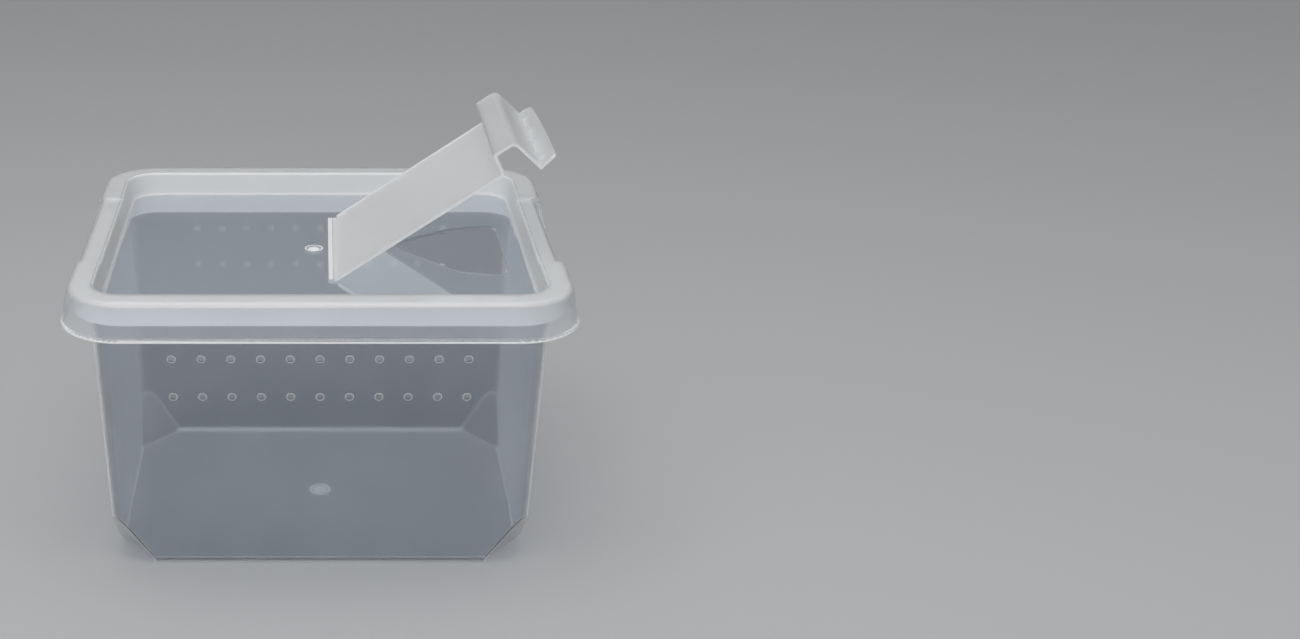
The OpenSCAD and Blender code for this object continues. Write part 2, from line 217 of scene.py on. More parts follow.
class KeeperFinish(bpy.types.PropertyGroup):
    """Colours of the plastic, some of which hold painted shade, sheen or glow, as noted at each."""

    # Painted shade: the walls' colour is darker than the clear plastic's own, standing in for a dark
    # surround seen through them.
    wall_tint: bpy.props.FloatVectorProperty(
        name="Wall tint", description="Colour of the tub's clear walls",
        default=(0.57, 0.6, 0.64), size=3, subtype="COLOR")
    # Painted sheen: the end walls get a lighter colour than the front and back walls, standing in for the
    # light they reflect where they are seen along their length.
    side_tint: bpy.props.FloatVectorProperty(
        name="End wall tint", description="Colour of the tub's left and right walls",
        default=(0.73, 0.75, 0.78), size=3, subtype="COLOR")
    # The facets share this colour, which is lighter than the walls' and so holds painted light on them.
    base_tint: bpy.props.FloatVectorProperty(
        name="Floor tint", description="Colour of the tub's floor",
        default=(0.79, 0.8, 0.81), size=3, subtype="COLOR")
    panel_tint: bpy.props.FloatVectorProperty(
        name="Panel tint", description="Colour of the lid's clear panel",
        default=(0.86, 0.925, 0.985), size=3, subtype="COLOR")
    rim_tint: bpy.props.FloatVectorProperty(
        name="Rim tint", description="Colour of the milky rim",
        default=(0.8, 0.81, 0.82), size=3, subtype="COLOR")
    skirt_tint: bpy.props.FloatVectorProperty(
        name="Skirt tint", description="Colour of the rim's thin skirt",
        default=(0.86, 0.88, 0.905), size=3, subtype="COLOR")
    # Painted shade: darker than the flap's own colour, standing in for the shade on the riser, bridge, lip
    # and tab.
    lip_tint: bpy.props.FloatVectorProperty(
        name="Lip tint", description="Colour of the flap above its plate: riser, bridge, lip and tab",
        default=(0.82, 0.83, 0.84), size=3, subtype="COLOR")
    flap_tint: bpy.props.FloatVectorProperty(
        name="Flap tint", description="Colour of the flap",
        default=(0.94, 0.943, 0.946), size=3, subtype="COLOR")
    # Painted glow: a whiter colour on cut and moulded edges, the foot's fillet and the vent lips, standing
    # in for the light that the clear plastic gathers at its edges; it is also the frosted gate marks' own
    # colour.
    edge_tint: bpy.props.FloatVectorProperty(
        name="Glow and frost tint", description="Colour of cut and moulded edges, which gather light",
        default=(0.93, 0.933, 0.936), size=3, subtype="COLOR")
    # Also the colour that the end walls turn to as painted sheen where they are seen along their length.
    milk: bpy.props.FloatVectorProperty(
        name="Milk", description="Colour of the cloudy patches and fine scratches",
        default=(0.88, 0.89, 0.9), size=3, subtype="COLOR")


class StudioSetup(bpy.types.PropertyGroup):
    """Floor, lamps and camera."""

    floor_colour: bpy.props.FloatVectorProperty(
        name="Floor colour", description="Colour of the floor",
        default=(0.5, 0.505, 0.515), size=3, subtype="COLOR")
    floor_drop: bpy.props.FloatProperty(
        name="Floor gap", description="Gap between the foot and the floor's surface",
        default=0.2 * MM, unit="LENGTH")
    sky_low: bpy.props.FloatProperty(
        name="Low surround", description="Strength of the even light near the horizon", default=0.1)
    sky_high: bpy.props.FloatProperty(
        name="High surround", description="Strength of the even light from above", default=0.68)
    key_power: bpy.props.FloatProperty(
        name="Key power", description="Power of the large lamp above", default=4.4, unit="POWER")
    fill_power: bpy.props.FloatProperty(
        name="Fill power", description="Power of the lamps at the sides", default=2.0, unit="POWER")
    front_power: bpy.props.FloatProperty(
        name="Front power", description="Power of the lamp beside the camera", default=4.5, unit="POWER")
    eye_height: bpy.props.FloatProperty(
        name="Eye height", description="Height of the camera above the floor",
        default=356.3 * MM, unit="LENGTH")
    eye_distance: bpy.props.FloatProperty(
        name="Eye distance", description="Distance of the camera in front of the keeper's centre",
        default=638 * MM, unit="LENGTH")
    eye_pitch: bpy.props.FloatProperty(
        name="Eye pitch", description="Downward tilt of the camera",
        default=math.radians(23.43), unit="ROTATION")
    lens: bpy.props.FloatProperty(
        name="Lens", description="Focal length in millimetres", default=44.46, subtype="DISTANCE_CAMERA")
    shift_x: bpy.props.FloatProperty(
        name="Shift right", description="Sideways shift of the lens", default=0.2538)
    shift_y: bpy.props.FloatProperty(
        name="Shift up", description="Upward shift of the lens", default=0.0081)


def link_object(name, mesh):
    """Puts a mesh in the scene as an object at the origin."""
    made = bpy.data.objects.new(name, mesh)
    bpy.context.scene.collection.objects.link(made)
    return made


def edge_middle(edge):
    """The middle of a mesh edge."""
    return (edge.verts[0].co + edge.verts[1].co) / 2


def moulded_copy(node, name, radius, is_soft, is_near=None):
    """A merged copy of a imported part, with the edges that is_soft() picks rounded.

    The rounded edges get the second material. Flat neighbours are joined first, everywhere or
    only where is_near() says so for an edge's middle.
    """
    mesh = frame["nodes"][node].data.copy()
    mesh.name = name
    mesh.materials.clear()
    if "custom_normal" in mesh.attributes:
        mesh.attributes.remove(mesh.attributes["custom_normal"])
    shell = bmesh.new()
    shell.from_mesh(mesh)
    bmesh.ops.remove_doubles(shell, verts=shell.verts, dist=MERGE_DISTANCE)
    near = [edge for edge in shell.edges if is_near is None or is_near(edge_middle(edge))]
    near_verts = list({vertex for edge in near for vertex in edge.verts})
    bmesh.ops.dissolve_limit(shell, angle_limit=FLAT_ANGLE, verts=near_verts, edges=near)
    picked = [edge for edge in shell.edges if len(edge.link_faces) == 2 and is_soft(edge)]
    bmesh.ops.bevel(shell, geom=picked, offset=radius, offset_type="OFFSET", segments=2, profile=0.5,
                    affect="EDGES", clamp_overlap=True, material=1)
    bmesh.ops.triangulate(shell, faces=[face for face in shell.faces if len(face.verts) > 4])
    shell.to_mesh(mesh)
    shell.free()
    mesh.shade_smooth()
    mesh.set_sharp_from_angle(angle=SMOOTH_BELOW)
    made = link_object(name, mesh)
    even = made.modifiers.new("Even normals", "WEIGHTED_NORMAL")
    even.keep_sharp = True
    return made


def depth_in_lid(point, radius):
    """How far a point lies in from the lid's rounded outline."""
    across = abs(point.x) - (LID_HIGH.x - radius)
    along = abs(point.y) - (LID_HIGH.y - radius)
    return radius - math.hypot(max(across, 0.0), max(along, 0.0)) - min(max(across, along), 0.0)


def paint_regions(piece, finish, regions, choose):
    """Gives each face the plastic of the region that choose() names for its centre and normal.

    The rounded edges keep the second region's plastic.
    """
    names = list(regions)
    for name in names:
        piece.data.materials.append(plastic(finish, regions[name]))
    for face in piece.data.polygons:
        if face.material_index == 0:
            face.material_index = names.index(choose(face.center, face.normal))


def socket(group, name, kind, out=False, default=None):
    """Adds one named socket to a node group."""
    made = group.interface.new_socket(name, in_out="OUTPUT" if out else "INPUT", socket_type=kind)
    if default is not None:
        made.default_value = default
    return made


def maths(tree, operation, first, second):
    """A Math node over two sockets or numbers; returns its output."""
    node = tree.nodes.new("ShaderNodeMath")
    node.operation = operation
    for place, value in ((0, first), (1, second)):
        if isinstance(value, (int, float)):
            node.inputs[place].default_value = value
        else:
            tree.links.new(value, node.inputs[place])
    return node.outputs[0]


def noise(tree, vector, scale, detail):
    """A noise texture; scale is a socket or a number."""
    node = tree.nodes.new("ShaderNodeTexNoise")
    tree.links.new(vector, node.inputs["Vector"])
    node.inputs["Detail"].default_value = detail
    if isinstance(scale, (int, float)):
        node.inputs["Scale"].default_value = scale
    else:
        tree.links.new(scale, node.inputs["Scale"])
    return node.outputs["Fac"]


def ranged(tree, value, span, low=0.0, high=1.0):
    """A Map Range node from span to low and high, which are sockets or numbers."""
    node = tree.nodes.new("ShaderNodeMapRange")
    tree.links.new(value, node.inputs["Value"])
    node.inputs["From Min"].default_value, node.inputs["From Max"].default_value = span
    for name, end in (("To Min", low), ("To Max", high)):
        if isinstance(end, (int, float)):
            node.inputs[name].default_value = end
        else:
            tree.links.new(end, node.inputs[name])
    return node.outputs["Result"]


def moulded_skin_group():
    """Shader group: long ripples, fine grain and cloudy patches of a moulded surface."""
    name = "Moulded skin"
    if name in bpy.data.node_groups:
        return bpy.data.node_groups[name]
    group = bpy.data.node_groups.new(name, "ShaderNodeTree")
    socket(group, "Vector", "NodeSocketVector")
    socket(group, "Ripple scale", "NodeSocketFloat", default=30.0)
    socket(group, "Ripple depth", "NodeSocketFloat", default=0.05)
    socket(group, "Grain scale", "NodeSocketFloat", default=1500.0)
    socket(group, "Grain depth", "NodeSocketFloat", default=0.01)
    socket(group, "Gloss low", "NodeSocketFloat", default=0.1)
    socket(group, "Gloss high", "NodeSocketFloat", default=0.15)
    socket(group, "Height", "NodeSocketFloat", out=True)
    socket(group, "Roughness", "NodeSocketFloat", out=True)
    socket(group, "Cloud", "NodeSocketFloat", out=True)
    entry = group.nodes.new("NodeGroupInput")
    leave = group.nodes.new("NodeGroupOutput")
    vector = entry.outputs["Vector"]
    ripple = noise(group, vector, entry.outputs["Ripple scale"], detail=1.0)
    grain = noise(group, vector, entry.outputs["Grain scale"], detail=2.0)
    cloud = noise(group, vector, CLOUD_SCALE, detail=4.0)
    deep = maths(group, "MULTIPLY", ripple, entry.outputs["Ripple depth"])
    fine = maths(group, "MULTIPLY", grain, entry.outputs["Grain depth"])
    group.links.new(maths(group, "ADD", deep, fine), leave.inputs["Height"])
    gloss = ranged(group, cloud, NOISE_SPAN, entry.outputs["Gloss low"], entry.outputs["Gloss high"])
    group.links.new(gloss, leave.inputs["Roughness"])
    group.links.new(ranged(group, cloud, NOISE_SPAN), leave.inputs["Cloud"])
    return group


def scratches_group():
    """Shader group: thin handling scratches that run mostly one way, in patches."""
    name = "Handling scratches"
    if name in bpy.data.node_groups:
        return bpy.data.node_groups[name]
    group = bpy.data.node_groups.new(name, "ShaderNodeTree")
    socket(group, "Vector", "NodeSocketVector")
    socket(group, "Turn", "NodeSocketFloat", default=SCRATCH_TURN)
    socket(group, "Amount", "NodeSocketFloat", default=0.5)
    socket(group, "Mask", "NodeSocketFloat", out=True)
    entry = group.nodes.new("NodeGroupInput")
    leave = group.nodes.new("NodeGroupOutput")
    turn = group.nodes.new("ShaderNodeVectorRotate")
    turn.inputs["Axis"].default_value = SCRATCH_AXIS
    group.links.new(entry.outputs["Vector"], turn.inputs["Vector"])
    group.links.new(entry.outputs["Turn"], turn.inputs["Angle"])
    stretch = group.nodes.new("ShaderNodeMapping")
    stretch.inputs["Scale"].default_value = SCRATCH_STRETCH
    group.links.new(turn.outputs["Vector"], stretch.inputs["Vector"])
    lines = noise(group, stretch.outputs["Vector"], SCRATCH_SCALE, detail=3.0)
    places = noise(group, entry.outputs["Vector"], SCRATCH_PATCH_SCALE, detail=2.0)
    off_line = maths(group, "ABSOLUTE", maths(group, "SUBTRACT", lines, 0.5), 0.0)
    line = ranged(group, off_line, (0.0, SCRATCH_WIDTH), 1.0, 0.0)
    patch = ranged(group, places, SCRATCH_PATCH_SPAN)
    both = maths(group, "MULTIPLY", line, patch)
    group.links.new(maths(group, "MULTIPLY", both, entry.outputs["Amount"]), leave.inputs["Mask"])
    return group


class Recipe(NamedTuple):
    """How one kind of moulded surface looks."""

    tint: str  # name of its colour in KeeperFinish
    clear: float  # share of the light that goes through it as through glass
    gloss: tuple  # least and most roughness
    ripple: tuple = (30.0, 0.05)  # scale and depth of the long ripples
    grain: tuple = (1800.0, 0.006)  # scale and depth of the fine grain
    cloudy: float = 0.2  # strength of the milky patches
    scratched: float = 0.3  # strength of the fine scratches
    sheen: float = 0.0  # how bright it turns where it is seen along its length
    painted_graze: float = 0.0  # painted sheen: how far its colour turns to the milk colour there
    lamp_share: float = 0.92  # share of lamp light that goes on behind it
    coat: float = 0.0  # strength of a second glossy layer
    index: float = 1.49  # refraction


RIM_RIPPLE = (34.0, 0.012)
FLAP_RIPPLE = (28.0, 0.04)
FLAP_GRAIN = (2200.0, 0.012)
RECIPES = {
    # The tub's clear walls, whose darkened colour is painted shade for a dark surround seen through them.
    "Clear wall": Recipe("wall_tint", 0.93, (0.03, 0.07), ripple=(24.0, 0.06), cloudy=0.12,
                         scratched=0.35, sheen=0.08),
    # The end walls: a lighter colour that turns milkier towards grazing view, as painted sheen for the
    # light they reflect there.
    "Milky side wall": Recipe("side_tint", 0.84, (0.04, 0.08), ripple=(24.0, 0.06), scratched=0.35,
                              sheen=0.9, painted_graze=1.0),
    # The foot's corner facets: a lighter, milkier copy of the walls' plastic, as painted light on their lit
    # faces.
    "Milky facet": Recipe("base_tint", 0.82, (0.13, 0.19)),
    "Cloudy floor": Recipe("base_tint", 0.86, (0.12, 0.2), ripple=(18.0, 0.05), cloudy=0.25,
                           scratched=0.5),
    # The rounded foot and floor edges: dense white plastic as painted glow for the light gathered in them.
    "Milky foot": Recipe("edge_tint", 0.3, (0.18, 0.25)),
    # The foot's fillet: dense white plastic as painted glow for the light gathered in it.
    "Bright fillet": Recipe("edge_tint", 0.1, (0.3, 0.36), sheen=1.0),
    "Dense flange": Recipe("rim_tint", 0.3, (0.18, 0.25), ripple=RIM_RIPPLE, scratched=0.1),
    # The lips round the vents: whiter plastic as painted highlight rings round the vents.
    "Vent lip": Recipe("edge_tint", 0.45, (0.18, 0.25), cloudy=0.15, scratched=0.0),
    "Clear panel": Recipe("panel_tint", 0.88, (0.04, 0.08), ripple=(16.0, 0.05), grain=(900.0, 0.002),
                          cloudy=0.08, scratched=0.2, coat=1.0, index=1.59),
    "Panel edge": Recipe("panel_tint", 0.88, (0.2, 0.25)),
    "Milky rim": Recipe("rim_tint", 0.6, (0.13, 0.19), ripple=RIM_RIPPLE, cloudy=0.25, scratched=0.2,
                        sheen=0.1),
    "Cloudy recess": Recipe("rim_tint", 0.2, (0.3, 0.38), ripple=RIM_RIPPLE, scratched=0.1),
    "Recess foot": Recipe("rim_tint", 0.6, (0.45, 0.55)),
    "Thin skirt": Recipe("skirt_tint", 0.86, (0.13, 0.19), ripple=RIM_RIPPLE, cloudy=0.15,
                         scratched=0.2, lamp_share=1.0),
    "Satin flap": Recipe("flap_tint", 0.68, (0.3, 0.38), ripple=FLAP_RIPPLE, grain=FLAP_GRAIN,
                         cloudy=0.12, scratched=0.15),
    # The flap above its plate: a darker, denser copy of the flap's plastic as painted shade.
    "Thin lip": Recipe("lip_tint", 0.6, (0.3, 0.38), ripple=FLAP_RIPPLE, grain=FLAP_GRAIN,
                       cloudy=0.12, scratched=0.15),
    # Cut edges and the bead: dense white plastic as painted glow; the gate marks' rings are frosted in
    # their own right.
    "Bright edge": Recipe("edge_tint", 0.15, (0.3, 0.36), cloudy=0.15, scratched=0.1),
    "Frosted gate": Recipe("edge_tint", 0.3, (0.4, 0.5), grain=(2600.0, 0.03), cloudy=0.3,
                           scratched=0.0),
}


def plastic(finish, name):
    """The see-through plastic of one recipe, made once."""
    if name in bpy.data.materials:
        return bpy.data.materials[name]
    recipe = RECIPES[name]
    tint = tuple(getattr(finish, recipe.tint))
    made = bpy.data.materials.new(name)
    made.use_nodes = True
    tree = made.node_tree
    nodes = tree.nodes
    links = tree.links
    nodes.clear()
    place = nodes.new("ShaderNodeTexCoord").outputs["Object"]
    skin = nodes.new("ShaderNodeGroup")
    skin.node_tree = moulded_skin_group()
    for names, values in (
        (("Ripple scale", "Ripple depth"), recipe.ripple),
        (("Grain scale", "Grain depth"), recipe.grain),
        (("Gloss low", "Gloss high"), recipe.gloss),
    ):
        for label, value in zip(names, values):
            skin.inputs[label].default_value = value
    links.new(place, skin.inputs["Vector"])
    wear = nodes.new("ShaderNodeGroup")
    wear.node_tree = scratches_group()
    wear.inputs["Amount"].default_value = recipe.scratched
    links.new(place, wear.inputs["Vector"])
    cloud = maths(tree, "MULTIPLY", skin.outputs["Cloud"], recipe.cloudy)
    share = maths(tree, "ADD", cloud, wear.outputs["Mask"])
    # Painted sheen: where the surface is seen along its length, its colour turns towards the milk colour.
    if recipe.painted_graze:
        facing = nodes.new("ShaderNodeLayerWeight")
        along = ranged(tree, facing.outputs["Facing"], GRAZE_SPAN, 0.0, recipe.painted_graze)
        share = maths(tree, "MAXIMUM", share, along)
    colour = nodes.new("ShaderNodeMix")
    colour.data_type = "RGBA"
    colour.inputs["A"].default_value = (*tint, 1.0)
    colour.inputs["B"].default_value = (*finish.milk, 1.0)
    links.new(share, colour.inputs["Factor"])
    bump = nodes.new("ShaderNodeBump")
    bump.inputs["Distance"].default_value = 1.0 * MM
    links.new(skin.outputs["Height"], bump.inputs["Height"])
    surface = nodes.new("ShaderNodeBsdfPrincipled")
    surface.inputs["IOR"].default_value = recipe.index
    surface.inputs["Transmission Weight"].default_value = recipe.clear
    surface.inputs["Sheen Weight"].default_value = recipe.sheen
    surface.inputs["Sheen Roughness"].default_value = 0.35
    surface.inputs["Coat Weight"].default_value = recipe.coat
    surface.inputs["Coat IOR"].default_value = 1.6
    links.new(colour.outputs["Result"], surface.inputs["Base Color"])
    links.new(skin.outputs["Roughness"], surface.inputs["Roughness"])
    links.new(bump.outputs["Normal"], surface.inputs["Normal"])
    # A shadow ray crosses each sheet twice, so it takes the root of the tint each time.
    path = nodes.new("ShaderNodeLightPath")
    through = nodes.new("ShaderNodeBsdfTransparent")
    passed = [recipe.lamp_share * math.sqrt(part) for part in tint]
    through.inputs["Color"].default_value = (*passed, 1.0)
    mix = nodes.new("ShaderNodeMixShader")
    out = nodes.new("ShaderNodeOutputMaterial")
    links.new(path.outputs["Is Shadow Ray"], mix.inputs[0])
    links.new(surface.outputs[0], mix.inputs[1])
    links.new(through.outputs[0], mix.inputs[2])
    links.new(mix.outputs[0], out.inputs["Surface"])
    return made


def wall_place(x, z):
    """Where the tub's front wall stands at a width and a height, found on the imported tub."""
    mesh = frame["nodes"]["tub"].data
    tree = BVHTree.FromPolygons([vertex.co for vertex in mesh.vertices],
                                [face.vertices for face in mesh.polygons])
    return tree.ray_cast(Vector((x, 2 * TUB_LOW.y, z)), Vector((0, 1, 0)))[0]


class KEEPER_OT_tub(bpy.types.Operator):
    """Dresses the tapered, vented tub."""

    bl_idname = "keeper.tub"
    bl_label = "Tub"

    def execute(self, context):
        shape = context.scene.keeper_shape
        gates = context.scene.keeper_gates
        finish = context.scene.keeper_finish

        floor_top = 1.6 * shape.sheet
        floor_crease, facet_crease = 40, 20

        def is_soft(edge):
            high = max(vertex.co.z for vertex in edge.verts)
            least = floor_crease if high < floor_top else facet_crease
            return high < shape.facet_height and math.degrees(edge.calc_face_angle(0.0)) > least

        tub = moulded_copy("tub", "tub_shell", shape.edge_radius, is_soft)
        flange_foot = LID_HIGH.z - shape.recess_depth - 2 * shape.sheet
        gate_foot = gates.floor_thickness + HAIR

        def choose(centre, normal):
            if centre.z > flange_foot:
                return "flange"
            over_gate = Vector(centre.xy).length < gates.floor_diameter
            if over_gate and gate_foot < centre.z < 2 * gate_foot:
                return "edge"
            # Painted glow: the foot's fillet gets dense white plastic.
            if centre.z < shape.sheet and abs(normal.z) < FLOOR_LEVEL:
                return "fillet"
            if centre.z < 2 * shape.sheet:
                return "base"
            # Painted light: the facets get a lighter copy of the walls' plastic.
            if centre.z < shape.facet_height and normal.z < FACET_DOWN:
                return "facet"
            # Painted sheen: the end walls get a lighter plastic than the front and back walls.
            return "side" if abs(normal.x) > SIDEWAYS else "wall"

        paint_regions(tub, finish, {
            "wall": "Clear wall",
            # Painted glow on the rounded edges of the foot and the floor.
            "softened": "Milky foot",
            "side": "Milky side wall",
            "facet": "Milky facet",
            "fillet": "Bright fillet",
            "flange": "Dense flange",
            "edge": "Bright edge",
            "base": "Cloudy floor",
        }, choose)
        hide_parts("tub")
        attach(tub, "tub")
        return {"FINISHED"}


def vent_lips_tree():
    """Geometry nodes: rows of rounded lips on the front wall, and the same on the back wall."""
    tree = bpy.data.node_groups.new("Vent lips", "GeometryNodeTree")
    socket(tree, "Geometry", "NodeSocketGeometry", out=True)
    socket(tree, "Columns", "NodeSocketInt", default=11)
    socket(tree, "Rows", "NodeSocketInt", default=2)
    for name in ("Pitch", "Row pitch", "Lip radius", "Lip width", "Lip rise", "Lean",
                 "Wall distance", "Height"):
        socket(tree, name, "NodeSocketFloat", default=0.01)
    socket(tree, "Material", "NodeSocketMaterial")
    entry = tree.nodes.new("NodeGroupInput")
    leave = tree.nodes.new("NodeGroupOutput")
    given = entry.outputs

    grid = tree.nodes.new("GeometryNodeMeshGrid")
    slope = maths(tree, "COSINE", given["Lean"], 0.0)
    wide = maths(tree, "MULTIPLY", given["Pitch"], maths(tree, "SUBTRACT", given["Columns"], 1.0))
    high = maths(tree, "MULTIPLY", given["Row pitch"], maths(tree, "SUBTRACT", given["Rows"], 1.0))
    tree.links.new(wide, grid.inputs["Size X"])
    tree.links.new(maths(tree, "DIVIDE", high, slope), grid.inputs["Size Y"])
    tree.links.new(given["Columns"], grid.inputs["Vertices X"])
    tree.links.new(given["Rows"], grid.inputs["Vertices Y"])

    circle = tree.nodes.new("GeometryNodeCurvePrimitiveCircle")
    circle.inputs["Resolution"].default_value = 28
    tree.links.new(given["Lip radius"], circle.inputs["Radius"])
    section = tree.nodes.new("GeometryNodeCurvePrimitiveCircle")
    section.inputs["Resolution"].default_value = 10
    tree.links.new(maths(tree, "DIVIDE", given["Lip width"], 2.0), section.inputs["Radius"])
    lip = tree.nodes.new("GeometryNodeCurveToMesh")
    tree.links.new(circle.outputs["Curve"], lip.inputs["Curve"])
    tree.links.new(section.outputs["Curve"], lip.inputs["Profile Curve"])
    flat = tree.nodes.new("GeometryNodeTransform")
    squeeze = tree.nodes.new("ShaderNodeCombineXYZ")
    squeeze.inputs["X"].default_value = 1.0
    squeeze.inputs["Y"].default_value = 1.0
    rise = maths(tree, "DIVIDE", maths(tree, "MULTIPLY", given["Lip rise"], 2.0), given["Lip width"])
    tree.links.new(rise, squeeze.inputs["Z"])
    tree.links.new(lip.outputs["Mesh"], flat.inputs["Geometry"])
    tree.links.new(squeeze.outputs[0], flat.inputs["Scale"])

    copies = tree.nodes.new("GeometryNodeInstanceOnPoints")
    tree.links.new(grid.outputs["Mesh"], copies.inputs["Points"])
    tree.links.new(flat.outputs["Geometry"], copies.inputs["Instance"])
    stand = tree.nodes.new("GeometryNodeTransform")
    turn = tree.nodes.new("ShaderNodeCombineXYZ")
    tree.links.new(maths(tree, "ADD", given["Lean"], math.pi / 2), turn.inputs["X"])
    spot = tree.nodes.new("ShaderNodeCombineXYZ")
    tree.links.new(maths(tree, "MULTIPLY", given["Wall distance"], -1.0), spot.inputs["Y"])
    tree.links.new(given["Height"], spot.inputs["Z"])
    tree.links.new(copies.outputs["Instances"], stand.inputs["Geometry"])
    tree.links.new(turn.outputs[0], stand.inputs["Rotation"])
    tree.links.new(spot.outputs[0], stand.inputs["Translation"])

    behind = tree.nodes.new("GeometryNodeTransform")
    behind.inputs["Rotation"].default_value = (0.0, 0.0, math.pi)
    both = tree.nodes.new("GeometryNodeJoinGeometry")
    tree.links.new(stand.outputs["Geometry"], behind.inputs["Geometry"])
    tree.links.new(stand.outputs["Geometry"], both.inputs["Geometry"])
    tree.links.new(behind.outputs["Geometry"], both.inputs["Geometry"])
    real = tree.nodes.new("GeometryNodeRealizeInstances")
    smooth = tree.nodes.new("GeometryNodeSetShadeSmooth")
    dress = tree.nodes.new("GeometryNodeSetMaterial")
    tree.links.new(both.outputs["Geometry"], smooth.inputs["Geometry"])
    tree.links.new(smooth.outputs["Geometry"], real.inputs["Geometry"])
    tree.links.new(real.outputs["Geometry"], dress.inputs["Geometry"])
    tree.links.new(given["Material"], dress.inputs["Material"])
    tree.links.new(dress.outputs["Geometry"], leave.inputs["Geometry"])
    return tree


def grown(name, tree, values):
    """Runs a geometry node tree with named values and returns its result as a plain mesh object."""
    seed = link_object(name + "_seed", bpy.data.meshes.new(name + "_seed"))
    run = seed.modifiers.new("Grow", "NODES")
    run.node_group = tree
    for item in tree.interface.items_tree:
        if item.item_type == "SOCKET" and item.in_out == "INPUT":
            run[item.identifier] = values[item.name]
    graph = bpy.context.evaluated_depsgraph_get()
    mesh = bpy.data.meshes.new_from_object(seed.evaluated_get(graph))
    mesh.name = name
    seed.modifiers.remove(run)
    bpy.data.objects.remove(seed)
    return link_object(name, mesh)


class KEEPER_OT_vent_lips(bpy.types.Operator):
    """Moulds a small lip round every vent of the front and back walls."""

    bl_idname = "keeper.vent_lips"
    bl_label = "Vent lips"

    def execute(self, context):
        vents = context.scene.keeper_vents
        finish = context.scene.keeper_finish
        middle = LID_HIGH.z - vents.drop - (vents.rows - 1) * vents.row_pitch / 2
        between = vents.pitch / 2
        upper = wall_place(between, middle + vents.row_pitch / 2)
        lower = wall_place(between, middle - vents.row_pitch / 2)
        lips = grown("vent_lips", vent_lips_tree(), {
            "Columns": vents.columns,
            "Rows": vents.rows,
            "Pitch": vents.pitch,
            "Row pitch": vents.row_pitch,
            "Lip radius": vents.diameter / 2,
            "Lip width": vents.lip_width,
            "Lip rise": vents.lip_rise,
            "Lean": math.atan2(lower.y - upper.y, upper.z - lower.z),
            "Wall distance": -(upper.y + lower.y) / 2,
            "Height": middle,
            # Painted highlight: the lips get whiter plastic that makes rings of light round the vents.
            "Material": plastic(finish, "Vent lip"),
        })
        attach(lips, "tub")
        return {"FINISHED"}


def frosted_disc(name, centre, diameter, rise):
    """A low, faintly domed disc with a softened edge, turned from a short profile."""
    mesh = bpy.data.meshes.new(name)
    disc = bmesh.new()
    radius = diameter / 2
    softened = 0.15 * MM
    profile = [(0.0, rise), (0.45 * radius, 0.92 * rise), (radius - softened, 0.7 * rise),
               (radius, 0.45 * rise), (radius, 0.0), (0.0, 0.0)]
    points = [disc.verts.new(centre + Vector((across, 0, up))) for across, up in profile]
    edges = [disc.edges.new(pair) for pair in zip(points, points[1:])]
    bmesh.ops.spin(disc, geom=points + edges, cent=centre, axis=(0, 0, 1), angle=2 * math.pi, steps=48)
    bmesh.ops.remove_doubles(disc, verts=disc.verts, dist=0.001 * MM)
    bmesh.ops.recalc_face_normals(disc, faces=disc.faces)
    disc.to_mesh(mesh)
    disc.free()
    mesh.shade_smooth()
    mesh.set_sharp_from_angle(angle=math.radians(40))
    return link_object(name, mesh)


class KEEPER_OT_gate_marks(bpy.types.Operator):
    """Frosts the two gate marks, one on the panel and one on the floor."""

    bl_idname = "keeper.gate_marks"
    bl_label = "Gate marks"

    def execute(self, context):
        shape = context.scene.keeper_shape
        gates = context.scene.keeper_gates
        finish = context.scene.keeper_finish
        panel_z = LID_HIGH.z - shape.recess_depth
        rise = 0.6 * gates.ring_height
        on_lid = Vector((-gates.lid_place, 0, panel_z))
        on_floor = Vector((0, 0, gates.floor_thickness))
        for name, body, slot, centre, diameter in (
            ("lid_gate_frost", "lid", "lid_plastic", on_lid, gates.lid_diameter),
            ("floor_gate_frost", "tub", "tub_plastic", on_floor, gates.floor_diameter),
        ):
            frost = frosted_disc(name, centre, 0.8 * (diameter - 2 * gates.ring_width), rise)
            frost.data.materials.append(plastic(finish, "Frosted gate"))
            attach(frost, body)
        return {"FINISHED"}


